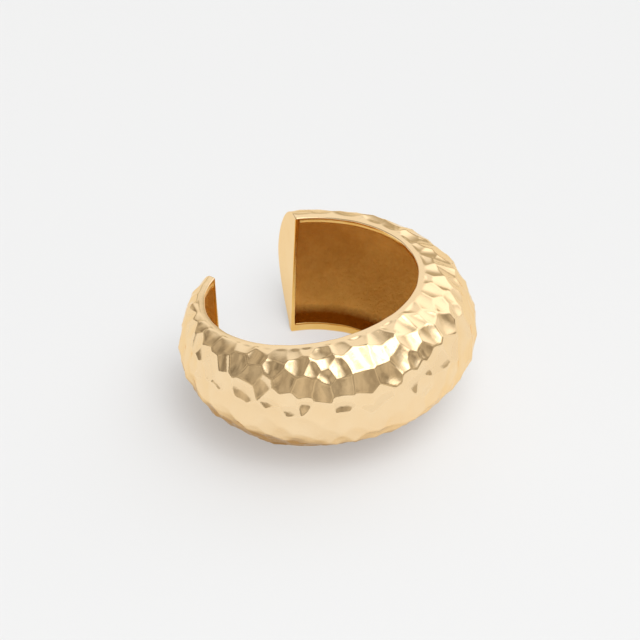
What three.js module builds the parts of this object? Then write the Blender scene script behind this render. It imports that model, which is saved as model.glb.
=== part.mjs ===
// A domed, hollow-backed cuff bracelet in one piece of metal, lying on its lower rim.
// Millimetres, +Z up. The gap faces +Y and the fullest part of the dome faces -Y.
import * as THREE from "three";

// The wrist opening at the upper rim, an egg-shaped oval. Angles start at -Y and turn towards +X.
const OPENING_HALF_WIDTH = 29;
const OPENING_HALF_DEPTH = 27.8;
const OPENING_BLUNT = 0.15; // the front of the oval is this share nearer to its centre, and the back further
const OPENING_LEAN = 0.065; // the right side is this share further from the centre, and the left nearer
const LOWER_TAPER = 0.12; // the opening is this share smaller at the lower rim

// Where the band ends on each side of the gap, in degrees, at the upper and at the lower rim.
const LEFT_END = { upper: -154.9, lower: -146.4 };
const RIGHT_END = { upper: 153.2, lower: 157.2 };
const CAP_SLANT = 17; // between a flat end and the plane through the gap's middle
const CAP_BLEND = 3; // how late along the band the sections turn to that slant

// How thick and how tall the band is over its length, from the left end (-1) to the right end (+1).
const THICK = { middle: 18, skew: 3.7, fall: -12.9, flare: 5.2 };
const TALL = { middle: 38, skew: 3.8, fall: -9.1, flare: 3.9 };

// The section of the dome: flat rims, and one curve above the widest level and one below it.
const RIM_FLAT = 1.4;
const WIDEST_LEVEL = 0.53;
const UPPER_CURVE = { bend: 1.7, fullness: 2.03 };
const LOWER_CURVE = { bend: 1.8, fullness: 0.95 };

// The recess behind the dome.
const WALL = 1.8;
const RIM_LIP = 2.2;
const END_RIM = 1;
const END_ROUNDING = 2.5;

// How finely the band is divided.
const HALF_LENGTH = 73; // of the band along its inner edge, in which the stations are measured
const HALF_STATIONS = 24;
const ROUNDING_STEPS = 4;
const SECTION_STEPS = 16;

const radians = THREE.MathUtils.degToRad;

function alongBand(shape, share) {
  const square = share * share;
  return shape.middle + shape.skew * share + shape.fall * square + shape.flare * square * square;
}

function angleAt(share, level) {
  const end = share < 0 ? LEFT_END : RIGHT_END;
  return radians(THREE.MathUtils.lerp(end.lower, end.upper, level)) * Math.abs(share);
}

function openingPoint(share, level) {
  const angle = angleAt(share, level);
  const across = Math.sin(angle);
  const along = Math.cos(angle);
  const oval = 1 / Math.hypot(across / OPENING_HALF_WIDTH, along / OPENING_HALF_DEPTH);
  const egg = 1 - OPENING_BLUNT * along + OPENING_LEAN * across;
  const radius = oval * egg * (1 - LOWER_TAPER * (1 - level));
  return new THREE.Vector2(radius * across, -radius * along);
}

// The way the wall's thickness is measured: square to the band, turning to the slant of the flat ends.
function outward(share, level) {
  const step = 1e-3;
  const along = openingPoint(share + step, level).sub(openingPoint(share - step, level));
  const square = Math.atan2(along.y, along.x);
  const cap = Math.sign(share) * (Math.PI - radians(CAP_SLANT));
  const turn = Math.atan2(Math.sin(cap - square), Math.cos(cap - square));
  const angle = square + turn * Math.abs(share) ** CAP_BLEND;
  return new THREE.Vector2(Math.sin(angle), -Math.cos(angle));
}

// The dome's bulge at a level: 0 at both rims and 1 at the widest level.
function bulge(level) {
  const above = level > WIDEST_LEVEL;
  const curve = above ? UPPER_CURVE : LOWER_CURVE;
  const reach = above ? 1 - WIDEST_LEVEL : WIDEST_LEVEL;
  const away = Math.min(1, Math.abs(level - WIDEST_LEVEL) / reach);
  return Math.max(0, 1 - away ** curve.bend) ** (1 / curve.fullness);
}

// The recess starts behind the end rim and rounds down to its full depth.
function recessShare(fromEnd) {
  const run = THREE.MathUtils.clamp((fromEnd - END_RIM) / END_ROUNDING, 0, 1);
  return Math.sqrt(1 - (1 - run) ** 2);
}

function pointOnBand(share, depth, height) {
  const level = height / alongBand(TALL, share);
  const point = openingPoint(share, level).addScaledVector(outward(share, level), depth);
  return new THREE.Vector3(point.x, point.y, height);
}

// One section, from the lower inner edge over the dome to the upper one, and down through the recess.
function sectionAt(share, fromEnd) {
  const thick = alongBand(THICK, share);
  const tall = alongBand(TALL, share);
  const dome = [];
  const recess = [];
  for (let step = 0; step <= SECTION_STEPS; step++) {
    const level = (1 - Math.cos((Math.PI * step) / SECTION_STEPS)) / 2;
    const domeDepth = RIM_FLAT + (thick - RIM_FLAT) * bulge(level);
    const recessDepth = (thick - WALL) * bulge(level) * recessShare(fromEnd);
    dome.push(pointOnBand(share, domeDepth, tall * level));
    recess.push(pointOnBand(share, recessDepth, RIM_LIP + (tall - 2 * RIM_LIP) * level));
  }
  const lowerEdge = pointOnBand(share, 0, 0);
  const upperEdge = pointOnBand(share, 0, tall);
  return [lowerEdge, ...dome, upperEdge, ...recess.reverse()];
}

// Distances from the nearer end at which a section stands, closer together where the recess rounds down.
function stationDistances() {
  const distances = [0, END_RIM];
  for (let step = 1; step <= ROUNDING_STEPS; step++) {
    distances.push(END_RIM + END_ROUNDING * (1 - Math.cos((Math.PI / 2) * (step / ROUNDING_STEPS))));
  }
  const first = distances.at(-1);
  for (let step = 1; step <= HALF_STATIONS; step++) {
    distances.push(first + ((HALF_LENGTH - first) * step) / HALF_STATIONS);
  }
  return distances;
}

function sections() {
  const distances = stationDistances();
  const left = distances.map((distance) => sectionAt(distance / HALF_LENGTH - 1, distance));
  const right = distances.map((distance) => sectionAt(1 - distance / HALF_LENGTH, distance));
  return [...left, ...right.reverse().slice(1)];
}

// A flat end: the dome's points joined to the recess's points, which lie on the inner edge there.
function capTriangles(first, flip) {
  const around = 2 * SECTION_STEPS + 4;
  const lower = 0;
  const upper = SECTION_STEPS + 2;
  const dome = (step) => 1 + step;
  const inner = (step) => around - 1 - step;
  const triangles = [[lower, inner(0), dome(0)]];
  for (let step = 0; step < SECTION_STEPS; step++) {
    triangles.push([dome(step), inner(step), dome(step + 1)]);
    triangles.push([inner(step), inner(step + 1), dome(step + 1)]);
  }
  triangles.push([dome(SECTION_STEPS), inner(SECTION_STEPS), upper]);
  return triangles.flatMap((corners) => {
    const placed = corners.map((corner) => first + corner);
    return flip ? placed.reverse() : placed;
  });
}

function bandTriangles(count, around) {
  const triangles = [];
  for (let station = 0; station < count - 1; station++) {
    for (let step = 0; step < around; step++) {
      const next = (step + 1) % around;
      const here = station * around;
      const there = here + around;
      triangles.push(here + step, there + step, there + next);
      triangles.push(here + step, there + next, here + next);
    }
  }
  return triangles;
}

function cuffGeometry() {
  const rings = sections();
  const around = rings[0].length;
  const triangles = [
    ...bandTriangles(rings.length, around),
    ...capTriangles(0, true),
    ...capTriangles((rings.length - 1) * around, false),
  ];
  const geometry = new THREE.BufferGeometry().setFromPoints(rings.flat());
  geometry.setIndex(triangles);
  geometry.computeVertexNormals();
  return geometry;
}

// The origin is on the surface that the lower rim stands on, under the middle of the bounding box.
function centred(geometry) {
  geometry.computeBoundingBox();
  const middle = geometry.boundingBox.getCenter(new THREE.Vector3());
  return geometry.translate(-middle.x, -middle.y, 0);
}

function cuffBody() {
  const gold = new THREE.MeshStandardMaterial({ color: 0xe3bf82, roughness: 0.2, metalness: 1 });
  const body = new THREE.Mesh(centred(cuffGeometry()), gold);
  body.name = "cuff_body";
  return body;
}

const bracelet = new THREE.Group();
bracelet.add(cuffBody());

export default bracelet;
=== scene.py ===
"""A hammered gold cuff bracelet lying on its lower rim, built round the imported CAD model.

Metres, +Z up.
"""

import math

import bpy
import numpy as np
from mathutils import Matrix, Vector


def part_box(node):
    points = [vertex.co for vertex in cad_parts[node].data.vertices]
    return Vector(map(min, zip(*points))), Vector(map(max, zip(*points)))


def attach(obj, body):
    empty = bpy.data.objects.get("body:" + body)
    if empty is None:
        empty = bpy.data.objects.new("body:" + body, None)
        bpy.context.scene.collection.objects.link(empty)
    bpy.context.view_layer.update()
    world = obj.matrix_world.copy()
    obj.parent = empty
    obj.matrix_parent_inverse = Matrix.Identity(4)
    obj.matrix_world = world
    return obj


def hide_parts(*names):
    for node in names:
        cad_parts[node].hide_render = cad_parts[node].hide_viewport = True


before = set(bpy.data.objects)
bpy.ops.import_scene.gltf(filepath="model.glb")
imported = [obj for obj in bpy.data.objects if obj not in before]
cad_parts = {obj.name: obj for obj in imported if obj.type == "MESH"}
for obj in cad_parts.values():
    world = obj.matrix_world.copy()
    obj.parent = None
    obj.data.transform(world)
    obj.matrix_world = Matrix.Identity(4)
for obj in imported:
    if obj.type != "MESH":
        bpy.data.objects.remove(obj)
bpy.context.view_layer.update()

# The CAD source's own sizes, in metres. Angles start at -Y and turn towards +X.
OPENING_HALF_WIDTH = 0.029
OPENING_HALF_DEPTH = 0.0278
OPENING_BLUNT = 0.15
OPENING_LEAN = 0.065
LOWER_TAPER = 0.12
LEFT_END = (-154.9, -146.4)  # at the upper and at the lower rim, in degrees
RIGHT_END = (153.2, 157.2)
CAP_SLANT = 17
CAP_BLEND = 3
THICK = (0.018, 0.0037, -0.0129, 0.0052)  # middle, skew, fall and flare over the band's length
TALL = (0.038, 0.0038, -0.0091, 0.0039)
RIM_FLAT = 0.0014
WIDEST_LEVEL = 0.53
UPPER_CURVE = (1.7, 2.03)
LOWER_CURVE = (1.8, 0.95)
WALL = 0.0018
RIM_LIP = 0.0022
END_RIM = 0.0010
END_ROUNDING = 0.0025
HALF_LENGTH = 0.073

# What the visual mesh adds to them.
EDGE_RADIUS = 0.00035  # of the rims' and the ends' edges
LIP_RADIUS = (0.0016, 0.0003)  # where the upper and the lower rim turn into the recess
END_FILLET = 0.00045  # where the ends turn into the recess
RIM_WAVE = 0.00006  # how unevenly the rims' inner edges run
# A soft crease low on the dome: its level at the front and to the left, its reach and its slope.
KEEL_HEIGHT = (0.0130, 0.0200)
KEEL_REACH = 0.0055  # how far below the crease the dome is beaten under
KEEL_SLOPE = 0.19
KEEL_FADE = 0.004  # the crease fades out over this distance from the rims
DOME_STEPS = 118
RECESS_STEPS = 34
CORNER_STEPS = 4
STATION_PITCH = 0.00030  # along the inner edge
HIT_SPACING = (0.0030, 0.0064)  # between neighbouring hammer hits
HIT_RADIUS = (0.0062, 0.0130)  # how round the hammer's face is
HIT_DEPTH = 0.00030  # how much deeper one hit goes than another
HIT_LENGTHEN = 0.35  # the most that a hit is drawn out one way
HIT_CANDIDATES = 30000
OUTER_SHARE = 0.6  # this share of the dome lies inside the CAD's surface, and the rest stands out of it
PLAIN_RIM = 0.0006  # width of the band beside the rims that the hammer fades out over
RIM_RELIEF = 0.12  # the share of the hammer's relief that is left at the rims
PLAIN_GROWTH = 3.5  # how much wider that band gets towards the ends
PLAIN_GROWTH_RUN = 0.03
END_FADE = 0.0012  # the hammer fades out over this distance from the flat ends
CALM_RUN = 0.026  # the length beside the right end where the hammer's relief is lower
CALM_SHARE = 0.6
CALM_DEPTH = 0.00012

# The camera, from the middle of the bracelet's box.
CAMERA_AZIMUTH = -36.14
CAMERA_ELEVATION = 37.62
CAMERA_DISTANCE = 0.7462
CAMERA_AIM = Vector((-0.0008, 0.0014, 0.0041))
CAMERA_LENS = 154.0

# The gold of the outside, a darker brown on the dome's foot that is a painted reflection of the
# shadowed floor under the bracelet, and the deeper gold of the edges round the recess, made more orange
# as a painted reflection of the warm recess.
GOLD = ((0.985, 0.728, 0.425), (1.0, 0.765, 0.472))
PAINTED_FOOT_REFLECTION = (0.61, 0.365, 0.16)
PAINTED_FOOT_PLANE = (-0.13, 0.07, 0.0116)  # how the painted reflection's edge on the foot climbs along X and Y, and its middle level
PAINTED_FOOT_WANDER = 0.0075  # how unevenly that edge runs
PAINTED_FOOT_BLEND = (-0.0012, 0.0030)  # where the painted reflection starts and ends, measured down from the edge
# The edges round the recess: a gold between the rim's and the cast metal's, made deeper and more orange
# as a painted reflection of the warm recess.
LIP_GOLD_AND_PAINTED_REFLECTION = ((0.94, 0.56, 0.15), (0.99, 0.66, 0.24))

# The as-cast metal of the recess, and the painted shade in its corner above the lower rim.
CAST_DARK = (0.85, 0.50, 0.125)
CAST_LIGHT = (1.0, 0.66, 0.20)
PAINTED_CORNER_SHADE = (0.30, 0.085, 0.004)
PAINTED_CORNER_SHADE_RISE = (0.0048, 0.0066)  # above the lower rim, where the corner's painted shade fades
# how unevenly the edge of the painted shade runs
PAINTED_SHADE_WANDER = 0.0012

# The studio's brightness by direction. The table's tone is also the plain background's.
TABLE_TONE = (0.88, 0.88, 0.88)
TABLE_EDGE = 0.16  # how high above the horizon the pale surroundings reach
TABLE_BLUR = 0.03
ROOM_DARK = (0.24, 0.215, 0.175)
ROOM_LIGHT = (0.64, 0.59, 0.51)
ROOM_SCALE = 2.6
BACK_WALL = (0.92, 0.92, 0.92)
BACK_WALL_SPREAD = (10, 36)  # in degrees from its middle: full within the first, gone past the second
SIDE_LIGHT = (1.30, 1.31, 1.33)
SIDE_SPREAD = (8, 34)
SOFTBOX_EDGE = (1.06, 1.07, 1.09)
SOFTBOX_EDGE_SPREAD = (22, 38)
SOFTBOX_MIDDLE = (2.7, 2.7, 2.6)
SOFTBOX_MIDDLE_SPREAD = (10, 34)
FOLD_SCALE = 5.0  # of the folds in the softbox's cloth
FAR_TONE = (0.50, 0.46, 0.39)
FAR_SPREAD = (6, 34)
FLOOR_HALF = 0.9
FLOOR_GLOW = 0.35  # the part of the floor's brightness that no shadow darkens
FLOOR_TONE = (0.440, 0.448, 0.462)
LAMP_WATTS = 32.0
LAMP_SIZE = 1.9
LAMP_DISTANCE = 2.7


# ---- Shape ---------------------------------------------------------------------------------------


def along_band(shape, share):
    middle, skew, fall, flare = shape
    return middle + skew * share + fall * share**2 + flare * share**4


def opening_point(share, level):
    left = np.radians(LEFT_END[1] + (LEFT_END[0] - LEFT_END[1]) * level)
    right = np.radians(RIGHT_END[1] + (RIGHT_END[0] - RIGHT_END[1]) * level)
    angle = np.where(share < 0, left, right) * np.abs(share)
    across, along = np.sin(angle), np.cos(angle)
    oval = 1 / np.hypot(across / OPENING_HALF_WIDTH, along / OPENING_HALF_DEPTH)
    egg = 1 - OPENING_BLUNT * along + OPENING_LEAN * across
    radius = oval * egg * (1 - LOWER_TAPER * (1 - level))
    return radius * across, -radius * along


def outward(share, level):
    step = 1e-3
    x1, y1 = opening_point(share + step, level)
    x0, y0 = opening_point(share - step, level)
    square = np.arctan2(y1 - y0, x1 - x0)
    cap = np.sign(share) * (math.pi - math.radians(CAP_SLANT))
    turn = np.arctan2(np.sin(cap - square), np.cos(cap - square))
    angle = square + turn * np.abs(share) ** CAP_BLEND
    return np.sin(angle), -np.cos(angle)


def bulge(level):
    above = level > WIDEST_LEVEL
    reach = np.where(above, 1 - WIDEST_LEVEL, WIDEST_LEVEL)
    away = np.minimum(1, np.abs(level - WIDEST_LEVEL) / reach)
    bend = np.where(above, UPPER_CURVE[0], LOWER_CURVE[0])
    fullness = np.where(above, UPPER_CURVE[1], LOWER_CURVE[1])
    return np.maximum(0, 1 - away**bend) ** (1 / fullness)


def recess_share(from_end):
    run = np.clip((from_end - END_RIM) / END_ROUNDING, 0, 1)
    return np.sqrt(1 - (1 - run) ** 2)


def end_fillet(from_end):
    """The rounded edge between the end rim and the recess."""
    run = min(max(from_end - (END_RIM - END_FILLET), 0), END_FILLET)
    return END_FILLET - math.sqrt(END_FILLET**2 - run**2)


def evenly(points, count):
    """count points at even distances along a polyline."""
    lengths = np.concatenate([[0], np.cumsum(np.linalg.norm(np.diff(points, axis=0), axis=1))])
    wanted = np.linspace(0, lengths[-1], count)
    return np.stack([np.interp(wanted, lengths, points[:, axis]) for axis in range(2)], 1)


def rounded(before, corner, after, radius):
    """Points that round a corner of the section, from the side of before to the side of after."""
    come = before - corner
    leave = after - corner
    start = corner + come / np.linalg.norm(come) * min(radius, np.linalg.norm(come))
    end = corner + leave / np.linalg.norm(leave) * min(radius, np.linalg.norm(leave))
    t = np.linspace(0, 1, CORNER_STEPS + 1)[:, None]
    return (1 - t) ** 2 * start + 2 * t * (1 - t) * corner + t**2 * end


def trimmed(points, first, last):
    """The polyline without a stretch of that length at its start and at its end."""
    lengths = np.concatenate([[0], np.cumsum(np.linalg.norm(np.diff(points, axis=0), axis=1))])
    most = lengths[-1] * 0.25
    wanted = np.linspace(min(first, most), lengths[-1] - min(last, most), len(points))
    return np.stack([np.interp(wanted, lengths, points[:, axis]) for axis in range(2)], 1)


def section(share, from_end):
    """The closed section as (depth, height) points, and their kinds: 0 rim, 1 dome, 2 recess, 3 lip."""
    thick = along_band(THICK, share)
    tall = along_band(TALL, share)
    level = (1 - np.cos(np.pi * np.linspace(0, 1, 400))) / 2
    dome = np.stack([RIM_FLAT + (thick - RIM_FLAT) * bulge(level), tall * level], 1)
    full = (thick - WALL) * bulge(level)
    deep = np.minimum(full, full * recess_share(from_end) + end_fillet(from_end))
    recess = np.stack([deep, RIM_LIP + (tall - 2 * RIM_LIP) * level], 1)
    dome = trimmed(evenly(dome, DOME_STEPS), EDGE_RADIUS, EDGE_RADIUS)
    recess = trimmed(evenly(recess, RECESS_STEPS), LIP_RADIUS[1], LIP_RADIUS[0])[::-1]
    low, high = np.array([0, 0.0]), np.array([0, tall])
    low_lip, high_lip = np.array([0, RIM_LIP]), np.array([0, tall - RIM_LIP])
    flat_low, flat_high = np.array([RIM_FLAT, 0]), np.array([RIM_FLAT, tall])
    pieces = [
        (rounded(low_lip, low, flat_low, EDGE_RADIUS), 0),
        (rounded(low, flat_low, dome[0], EDGE_RADIUS)[:-1], 0),
        (dome, 1),
        (rounded(dome[-1], flat_high, high, EDGE_RADIUS)[1:], 0),
        (rounded(flat_high, high, high_lip, EDGE_RADIUS), 0),
        (rounded(high, high_lip, recess[0], LIP_RADIUS[0])[:-1], 3),
        (recess, 2),
        (rounded(recess[-1], low_lip, low, LIP_RADIUS[1])[1:], 3),
    ]
    points = np.concatenate([piece for piece, _ in pieces])
    kinds = np.concatenate([np.full(len(piece), kind) for piece, kind in pieces])
    return points, kinds


def inset(points, amount):
    """The section moved in by an amount, for the rounded edges of the flat ends."""
    ahead = np.roll(points, -1, axis=0) - np.roll(points, 1, axis=0)
    normal = np.stack([-ahead[:, 1], ahead[:, 0]], 1)
    normal /= np.linalg.norm(normal, axis=1)[:, None] + 1e-12
    return points + normal * amount


def station_distances():
    """Distances from an end at which a section stands."""
    steps = CORNER_STEPS + 2
    edge = EDGE_RADIUS * (1 - np.cos(np.linspace(0, math.pi / 2, steps)))
    lip = np.linspace(EDGE_RADIUS, END_RIM, 8)[1:]
    run = END_ROUNDING * (1 - np.cos(np.linspace(0, math.pi / 2, 10)))[1:] + END_RIM
    rest = np.linspace(run[-1], HALF_LENGTH, int((HALF_LENGTH - run[-1]) / STATION_PITCH))[1:]
    return np.concatenate([edge, lip, run, rest])


def all_sections():
    near = station_distances()
    shares = np.concatenate([near / HALF_LENGTH - 1, (1 - near / HALF_LENGTH)[::-1][1:]])
    rings, kinds = [], None
    for share in shares:
        from_end = (1 - abs(share)) * HALF_LENGTH
        points, kinds = section(share, from_end)
        if from_end < EDGE_RADIUS:
            ahead = 1 - from_end / EDGE_RADIUS
            points = inset(points, EDGE_RADIUS * (1 - math.sqrt(1 - ahead**2)))
        rings.append(points)
    rings = np.array(rings)
    tall = along_band(TALL, shares)[:, None]
    depth, height = rings[..., 0], rings[..., 1]
    level = height / tall
    depth = depth + rim_wave(shares)[:, None] * np.exp(-depth / 0.0008)
    x, y = opening_point(shares[:, None], level)
    out_x, out_y = outward(shares[:, None], level)
    return np.stack([x + out_x * depth, y + out_y * depth, height], -1), kinds, shares


def rim_wave(shares):
    """How far the inner edge of the rims stands out at each station, in a few uneven waves."""
    wave = np.sin(shares * 41 + 1) + 0.8 * np.sin(shares * 67 + 4) + 0.4 * np.sin(shares * 93 + 2)
    return RIM_WAVE * wave / 1.6 * np.clip((1 - np.abs(shares)) * 20, 0, 1)


def grid_normals(grid):
    """Normals of a grid that is closed across and open along, facing out."""
    along = np.gradient(grid, axis=0)
    across = np.roll(grid, -1, axis=1) - np.roll(grid, 1, axis=1)
    normal = np.cross(along, across)
    return normal / (np.linalg.norm(normal, axis=-1)[..., None] + 1e-15)


def hammer_hits(points, rng):
    """Places of the hammer's hits, spread unevenly over the dome, and each one's spacing."""
    places, spacings = [], []
    for candidate in rng.permutation(len(points))[:HIT_CANDIDATES]:
        spacing = rng.uniform(*HIT_SPACING)
        place = points[candidate]
        if places:
            gaps = np.linalg.norm(np.array(places) - place, axis=1)
            if np.any(gaps < (np.array(spacings) + spacing) / 2):
                continue
        places.append(place)
        spacings.append(spacing)
    return np.array(places), np.array(spacings)


def hammered(points, area_points, rng):
    """How far each point stands out: the hits are shallow bowls that meet in sharp ridges."""
    places, spacings = hammer_hits(area_points, rng)
    size = (spacings - HIT_SPACING[0]) / (HIT_SPACING[1] - HIT_SPACING[0])
    roundness = 0.35 * size + 0.65 * rng.uniform(size=len(size))
    radius = HIT_RADIUS[0] + (HIT_RADIUS[1] - HIT_RADIUS[0]) * roundness
    depth = rng.uniform(-0.5, 0.5, len(places)) * HIT_DEPTH
    lengthen = rng.uniform(0.0, HIT_LENGTHEN, len(places))
    heading = rng.normal(size=(len(places), 3))
    heading /= np.linalg.norm(heading, axis=1)[:, None]
    out = np.zeros(len(points))
    for start in range(0, len(points), 4000):
        part = points[start : start + 4000]
        away = part[:, None, :] - places[None]
        far = np.einsum("ijk,ijk->ij", away, away)
        ahead = np.einsum("ijk,jk->ij", away, heading)
        far = far - lengthen * ahead**2
        bowls = far / (2 * radius) + depth
        out[start : start + 4000] = bowls.min(axis=1)
    return out - np.quantile(out, OUTER_SHARE)


def keel(shares, heights):
    """How far the crease low on the left and the front stands out, or in below its own level."""
    leftward = np.clip((-0.2 - shares) / 0.4, 0, 1)
    level = KEEL_HEIGHT[0] + (KEEL_HEIGHT[1] - KEEL_HEIGHT[0]) * leftward
    level = level + 0.0009 * np.sin(shares * 37) + 0.0007 * np.sin(shares * 83 + 2)
    strength = np.clip((0.16 - shares) / 0.34, 0, 1) * np.clip((shares + 0.92) / 0.25, 0, 1)
    above = heights - level[:, None]
    half = KEEL_SLOPE * KEEL_REACH / 2
    below = half + KEEL_SLOPE * np.clip(above, -KEEL_REACH, 0)
    over = half * np.clip(1 - above / (1.2 * KEEL_REACH), 0, 1)
    return np.where(above < 0, below, over) * strength[:, None]


def build_cuff():
    rng = np.random.default_rng(7)
    grid, kinds, shares = all_sections()
    middle = [(grid[..., axis].max() + grid[..., axis].min()) / 2 for axis in range(2)]
    low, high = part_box("cuff_body")
    grid[..., 0] += (low.x + high.x) / 2 - middle[0]
    grid[..., 1] += (low.y + high.y) / 2 - middle[1]
    normals = grid_normals(grid)
    dome = np.nonzero(kinds == 1)[0]
    outside = grid[:, dome]
    shape = outside.shape[:2]
    steps = np.linalg.norm(np.diff(outside, axis=1), axis=-1)
    run = np.concatenate([np.zeros((shape[0], 1)), np.cumsum(steps, axis=1)], axis=1)
    to_rim = np.minimum(run, run[:, -1:] - run)
    from_end = (1 - np.abs(shares)) * HALF_LENGTH
    near_end = np.clip(1 - from_end / PLAIN_GROWTH_RUN, 0, 1)
    plain = PLAIN_RIM * (1 + PLAIN_GROWTH * near_end)
    fade = np.clip(to_rim / plain[:, None], 0, 1)
    fade = fade * fade * (3 - 2 * fade)
    end_fade = np.clip(from_end / END_FADE, 0, 1)[:, None]
    flat = outside.reshape(-1, 3)
    weights = np.linalg.norm(np.gradient(outside, axis=0), axis=-1) * np.gradient(run, axis=1)
    chance = weights.reshape(-1) / weights.sum()
    spread = flat[rng.choice(len(flat), size=HIT_CANDIDATES, p=chance)]
    out = hammered(flat, spread, rng).reshape(shape)
    out = out * (RIM_RELIEF + (1 - RIM_RELIEF) * fade) * end_fade
    calm = np.clip(1 - (1 - shares) * HALF_LENGTH / CALM_RUN, 0, 1)[:, None]
    out = out * (1 - CALM_SHARE * calm) - CALM_DEPTH * calm * fade
    out = out + keel(shares, outside[..., 2]) * np.clip(to_rim / KEEL_FADE, 0, 1) * end_fade
    grid[:, dome] += normals[:, dome] * out[..., None]
    return grid, kinds, shares


def cap_faces(ring_start, kinds, heights, flip):
    """A flat end: a strip of faces between the dome's side and the inner edge, sewn by height."""
    count = len(kinds)
    outer_end = int(np.nonzero(kinds == 1)[0][-1]) + 2 * CORNER_STEPS
    outer = list(range(0, outer_end + 1))
    inner = [0] + list(range(count - 1, outer_end, -1)) + [outer_end]
    faces = []
    i, j = 0, 0
    while i < len(outer) - 1 or j < len(inner) - 1:
        step_outer = j == len(inner) - 1 or (
            i < len(outer) - 1 and heights[outer[i + 1]] <= heights[inner[j + 1]]
        )
        if step_outer:
            face = (outer[i], outer[i + 1], inner[j])
            i += 1
        else:
            face = (outer[i], inner[j + 1], inner[j])
            j += 1
        if len(set(face)) == 3:
            faces.append(face[::-1] if flip else face)
    return [tuple(ring_start + corner for corner in face) for face in faces]


def cuff_mesh():
    grid, kinds, shares = build_cuff()
    count, around = grid.shape[:2]
    station, step = np.meshgrid(np.arange(count - 1), np.arange(around), indexing="ij")
    here = station * around + step
    after = station * around + (step + 1) % around
    quads = np.stack([here, here + around, after + around, after], -1).reshape(-1, 4)
    one, other = kinds[step], kinds[(step + 1) % around]
    on_end = (1 - np.abs(shares[station])) * HALF_LENGTH < END_RIM
    lip = ((one == 3) | (other == 3) | ((one == 2) & on_end)) & (one != 1)
    slots = np.where(lip, 3, np.where(one == other, one, 0)).reshape(-1)
    faces = [tuple(int(v) for v in quad) for quad in quads]
    first = cap_faces(0, kinds, grid[0, :, 2], False)
    last = cap_faces((count - 1) * around, kinds, grid[-1, :, 2], True)
    mesh = bpy.data.meshes.new("cuff")
    mesh.from_pydata(grid.reshape(-1, 3).tolist(), [], faces + first + last)
    slots = np.concatenate([slots, np.zeros(len(first) + len(last), int)])
    for polygon, slot in zip(mesh.polygons, slots):
        polygon.material_index = int(slot)
        polygon.use_smooth = True
    mesh.validate()
    mesh.update()
    return mesh


# ---- Materials -----------------------------------------------------------------------------------


def new_material(name):
    material = bpy.data.materials.new(name)
    material.use_nodes = True
    nodes = material.node_tree.nodes
    nodes.clear()
    output = nodes.new("ShaderNodeOutputMaterial")
    shader = nodes.new("ShaderNodeBsdfPrincipled")
    material.node_tree.links.new(shader.outputs[0], output.inputs[0])
    return material, nodes, material.node_tree.links, shader


def noise(nodes, links, scale, detail=3.0, roughness=0.5):
    where = nodes.new("ShaderNodeTexCoord")
    texture = nodes.new("ShaderNodeTexNoise")
    texture.inputs["Scale"].default_value = scale
    texture.inputs["Detail"].default_value = detail
    texture.inputs["Roughness"].default_value = roughness
    links.new(where.outputs["Object"], texture.inputs["Vector"])
    return texture.outputs["Fac"]


def ranged(nodes, links, value, low, high, start=0.3, end=0.7):
    node = nodes.new("ShaderNodeMapRange")
    node.inputs["From Min"].default_value = start
    node.inputs["From Max"].default_value = end
    node.inputs["To Min"].default_value = low
    node.inputs["To Max"].default_value = high
    links.new(value, node.inputs["Value"])
    return node.outputs["Result"]


def mixed(nodes, links, factor, first, second):
    node = nodes.new("ShaderNodeMix")
    node.data_type = "RGBA"
    node.inputs["A"].default_value = (*first, 1)
    node.inputs["B"].default_value = (*second, 1)
    links.new(factor, node.inputs["Factor"])
    return node.outputs["Result"]


def blended(nodes, links, factor, first, second):
    """Mixes two colours, each a number, a colour or another node's output."""
    node = nodes.new("ShaderNodeMix")
    node.data_type = "RGBA"
    for name, value in (("A", first), ("B", second)):
        if isinstance(value, bpy.types.NodeSocket):
            links.new(value, node.inputs[name])
        else:
            node.inputs[name].default_value = (*value, 1)
    links.new(factor, node.inputs["Factor"])
    return node.outputs["Result"]


def multiplied(nodes, links, first, second):
    node = nodes.new("ShaderNodeMath")
    node.operation = "MULTIPLY"
    links.new(first, node.inputs[0])
    links.new(second, node.inputs[1])
    return node.outputs[0]


def bumped(nodes, links, height, strength, distance):
    node = nodes.new("ShaderNodeBump")
    node.inputs["Strength"].default_value = strength
    node.inputs["Distance"].default_value = distance
    links.new(height, node.inputs["Height"])
    return node.outputs["Normal"]


def painted_foot_reflection_share(nodes, links):
    """1 on the foot of the dome, where a painted reflection of the shadowed floor darkens the gold, and
    0 above its uneven edge.
    """
    where = nodes.new("ShaderNodeTexCoord")
    under = nodes.new("ShaderNodeVectorMath")
    under.operation = "DOT_PRODUCT"
    under.inputs[1].default_value = (PAINTED_FOOT_PLANE[0], PAINTED_FOOT_PLANE[1], -1)
    links.new(where.outputs["Object"], under.inputs[0])
    uneven = nodes.new("ShaderNodeMath")
    uneven.operation = "MULTIPLY_ADD"
    uneven.inputs[1].default_value = PAINTED_FOOT_WANDER
    links.new(noise(nodes, links, 150, 1), uneven.inputs[0])
    links.new(under.outputs["Value"], uneven.inputs[2])
    edge = PAINTED_FOOT_WANDER / 2 - PAINTED_FOOT_PLANE[2]
    start, end = (edge + part for part in PAINTED_FOOT_BLEND)
    return ranged(nodes, links, uneven.outputs[0], 0, 1, start, end)


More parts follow.
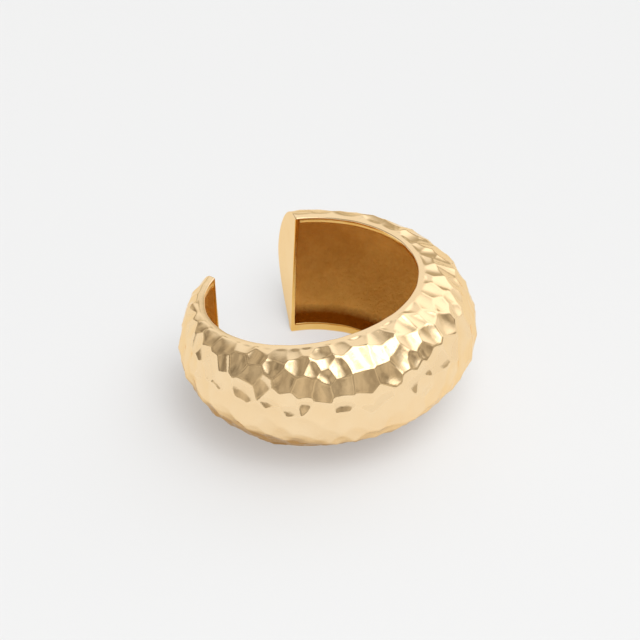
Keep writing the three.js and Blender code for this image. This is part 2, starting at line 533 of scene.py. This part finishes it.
def polished_gold(name, tones, rough, waviness, foot=False):
    material, nodes, links, shader = new_material(name)
    shader.inputs["Metallic"].default_value = 1.0
    tone = ranged(nodes, links, noise(nodes, links, 140, 4), 0, 1)
    colour = mixed(nodes, links, tone, *tones)
    # On the foot a darker brown is laid over the gold: a painted reflection of the shadowed floor under
    # the bracelet.
    if foot:
        colour = blended(nodes, links, painted_foot_reflection_share(nodes, links), colour, PAINTED_FOOT_REFLECTION)
    links.new(colour, shader.inputs["Base Color"])
    shader.inputs["Specular Tint"].default_value = (1.0, 0.86, 0.63, 1)
    sheen = ranged(nodes, links, noise(nodes, links, 420, 5, 0.6), rough[0], rough[1])
    links.new(sheen, shader.inputs["Roughness"])
    ripple = noise(nodes, links, 520, 3)
    links.new(bumped(nodes, links, ripple, waviness, 0.0004), shader.inputs["Normal"])
    return material


def cast_gold_and_painted_shade(low):
    """The recess as it was cast: grained and stained, with painted shade darkest in the corner above
    the lower rim.
    """
    material, nodes, links, shader = new_material("cast_recess_and_painted_shade")
    shader.inputs["Metallic"].default_value = 1.0
    grain = noise(nodes, links, 900, 6, 0.65)
    stain = noise(nodes, links, 95, 12, 0.74)
    tone = ranged(nodes, links, stain, 0, 1, 0.36, 0.64)
    colour = mixed(nodes, links, tone, CAST_DARK, CAST_LIGHT)
    where = nodes.new("ShaderNodeTexCoord")
    height = nodes.new("ShaderNodeSeparateXYZ")
    links.new(where.outputs["Object"], height.inputs[0])
    wander = nodes.new("ShaderNodeMath")
    wander.operation = "MULTIPLY_ADD"
    wander.inputs[1].default_value = PAINTED_SHADE_WANDER
    links.new(grain, wander.inputs[0])
    links.new(height.outputs["Z"], wander.inputs[2])
    # The corner above the lower rim is darkened by painted shade, which fades with height.
    start, end = (low + rise for rise in PAINTED_CORNER_SHADE_RISE)
    corner = ranged(nodes, links, wander.outputs[0], 1, 0, start, end)
    colour = blended(nodes, links, corner, colour, PAINTED_CORNER_SHADE)
    links.new(colour, shader.inputs["Base Color"])
    links.new(ranged(nodes, links, grain, 0.42, 0.66), shader.inputs["Roughness"])
    links.new(bumped(nodes, links, grain, 1.0, 0.0009), shader.inputs["Normal"])
    return material


def floor_material():
    material, nodes, links, shader = new_material("floor")
    shader.inputs["Roughness"].default_value = 0.9
    shader.inputs["Specular IOR Level"].default_value = 0.0
    tone = ranged(nodes, links, noise(nodes, links, 3, 2), 0, 1)
    paler = tuple(part + 0.006 for part in FLOOR_TONE)
    links.new(mixed(nodes, links, tone, FLOOR_TONE, paler), shader.inputs["Base Color"])
    shader.inputs["Emission Color"].default_value = (1, 1, 1, 1)
    shader.inputs["Emission Strength"].default_value = FLOOR_GLOW
    return material


# ---- Studio --------------------------------------------------------------------------------------


def direction(azimuth, elevation):
    a, e = math.radians(azimuth), math.radians(elevation)
    return Vector((math.sin(a) * math.cos(e), -math.cos(a) * math.cos(e), math.sin(e)))


def add_camera():
    low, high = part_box("cuff_body")
    aim = (low + high) / 2 + CAMERA_AIM
    camera = bpy.data.cameras.new("camera")
    camera.lens = CAMERA_LENS
    camera.sensor_width = 36
    camera.clip_start = 0.01
    camera.clip_end = 50
    holder = bpy.data.objects.new("camera", camera)
    holder.location = aim + direction(CAMERA_AZIMUTH, CAMERA_ELEVATION) * CAMERA_DISTANCE
    holder.rotation_euler = (aim - holder.location).to_track_quat("-Z", "Y").to_euler()
    bpy.context.scene.collection.objects.link(holder)
    bpy.context.scene.camera = holder


def add_floor():
    low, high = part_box("cuff_body")
    mesh = bpy.data.meshes.new("floor")
    corners = [(x * FLOOR_HALF, y * FLOOR_HALF, 0) for x, y in ((-1, -1), (1, -1), (1, 1), (-1, 1))]
    mesh.from_pydata(corners, [], [(0, 1, 2, 3)])
    mesh.materials.append(floor_material())
    floor = bpy.data.objects.new("floor", mesh)
    floor.location.z = low.z
    bpy.context.scene.collection.objects.link(floor)


SOFTBOX_TOWARD = direction(32, 69)
LAMP_TOWARD = direction(-20, 58)
SIDE_TOWARD = direction(100, 32)
FAR_TOWARD = direction(128, 3)
BACK_WALL_TOWARD = direction(144, 38)


def lobe(nodes, links, toward, spread):
    """1 within the first number of degrees of a direction, falling to 0 at the second."""
    inner, outer = spread
    where = nodes.new("ShaderNodeTexCoord")
    dot = nodes.new("ShaderNodeVectorMath")
    dot.operation = "DOT_PRODUCT"
    dot.inputs[1].default_value = toward
    links.new(where.outputs["Generated"], dot.inputs[0])
    node = nodes.new("ShaderNodeMapRange")
    node.interpolation_type = "SMOOTHSTEP"
    node.inputs["From Min"].default_value = math.cos(math.radians(outer))
    node.inputs["From Max"].default_value = math.cos(math.radians(inner))
    links.new(dot.outputs["Value"], node.inputs["Value"])
    return node.outputs["Result"]


def add_world():
    """The surroundings: a dim room, a softbox overhead, a light at the side and a pale table below."""
    world = bpy.data.worlds.new("studio")
    world.use_nodes = True
    nodes, links = world.node_tree.nodes, world.node_tree.links
    nodes.clear()
    output = nodes.new("ShaderNodeOutputWorld")
    background = nodes.new("ShaderNodeBackground")
    links.new(background.outputs[0], output.inputs[0])
    where = nodes.new("ShaderNodeTexCoord")
    height = nodes.new("ShaderNodeSeparateXYZ")
    links.new(where.outputs["Generated"], height.inputs[0])
    cloud = nodes.new("ShaderNodeTexNoise")
    cloud.inputs["Scale"].default_value = ROOM_SCALE
    cloud.inputs["Detail"].default_value = 2.0
    links.new(where.outputs["Generated"], cloud.inputs["Vector"])
    clouded = ranged(nodes, links, cloud.outputs["Fac"], 0, 1)
    tone = blended(nodes, links, clouded, ROOM_DARK, ROOM_LIGHT)
    wall = lobe(nodes, links, BACK_WALL_TOWARD, BACK_WALL_SPREAD)
    tone = blended(nodes, links, wall, tone, BACK_WALL)
    side = lobe(nodes, links, SIDE_TOWARD, SIDE_SPREAD)
    tone = blended(nodes, links, side, tone, SIDE_LIGHT)
    edge = lobe(nodes, links, SOFTBOX_TOWARD, SOFTBOX_EDGE_SPREAD)
    tone = blended(nodes, links, edge, tone, SOFTBOX_EDGE)
    fold = nodes.new("ShaderNodeTexNoise")
    fold.inputs["Scale"].default_value = FOLD_SCALE
    fold.inputs["Detail"].default_value = 1.0
    links.new(where.outputs["Generated"], fold.inputs["Vector"])
    folded = ranged(nodes, links, fold.outputs["Fac"], 0.1, 1, 0.36, 0.56)
    bright = multiplied(nodes, links, lobe(nodes, links, SOFTBOX_TOWARD, SOFTBOX_MIDDLE_SPREAD), folded)
    tone = blended(nodes, links, bright, tone, SOFTBOX_MIDDLE)
    start, end = TABLE_EDGE - TABLE_BLUR, TABLE_EDGE + TABLE_BLUR
    table = ranged(nodes, links, height.outputs["Z"], 1, 0, start, end)
    tone = blended(nodes, links, table, tone, TABLE_TONE)
    far = multiplied(nodes, links, lobe(nodes, links, FAR_TOWARD, FAR_SPREAD), folded)
    tone = blended(nodes, links, far, tone, FAR_TONE)
    seen = nodes.new("ShaderNodeLightPath")
    tone = blended(nodes, links, seen.outputs["Is Camera Ray"], tone, TABLE_TONE)
    links.new(tone, background.inputs["Color"])
    bpy.context.scene.world = world


def add_lamp():
    """A broad lamp in front that casts the soft shadow. The softbox is what the metal mirrors."""
    low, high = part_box("cuff_body")
    lamp = bpy.data.lights.new("overhead", "AREA")
    lamp.shape = "DISK"
    lamp.size = LAMP_SIZE
    lamp.energy = LAMP_WATTS
    holder = bpy.data.objects.new("overhead", lamp)
    holder.location = (low + high) / 2 + LAMP_TOWARD * LAMP_DISTANCE
    holder.rotation_euler = (-LAMP_TOWARD).to_track_quat("-Z", "Y").to_euler()
    holder.visible_glossy = False
    bpy.context.scene.collection.objects.link(holder)


def add_cuff():
    cuff = bpy.data.objects.new("cuff", cuff_mesh())
    bpy.context.scene.collection.objects.link(cuff)
    cuff.data.materials.append(polished_gold("polished_rim", GOLD, (0.05, 0.12), 0.10))
    # The hammered gold carries the painted reflection on its foot.
    cuff.data.materials.append(polished_gold("hammered_gold", GOLD, (0.04, 0.10), 0.08, foot=True))
    cuff.data.materials.append(cast_gold_and_painted_shade(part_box("cuff_body")[0].z))
    # The lips' orange gold is partly their own finish and partly a painted reflection of the recess.
    cuff.data.materials.append(polished_gold("lip_gold_painted_reflection", LIP_GOLD_AND_PAINTED_REFLECTION, (0.14, 0.26), 0.12))
    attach(cuff, "root")
    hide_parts("cuff_body")


add_camera()
add_floor()
add_world()
add_lamp()
add_cuff()
bpy.context.scene.view_settings.view_transform = "Standard"
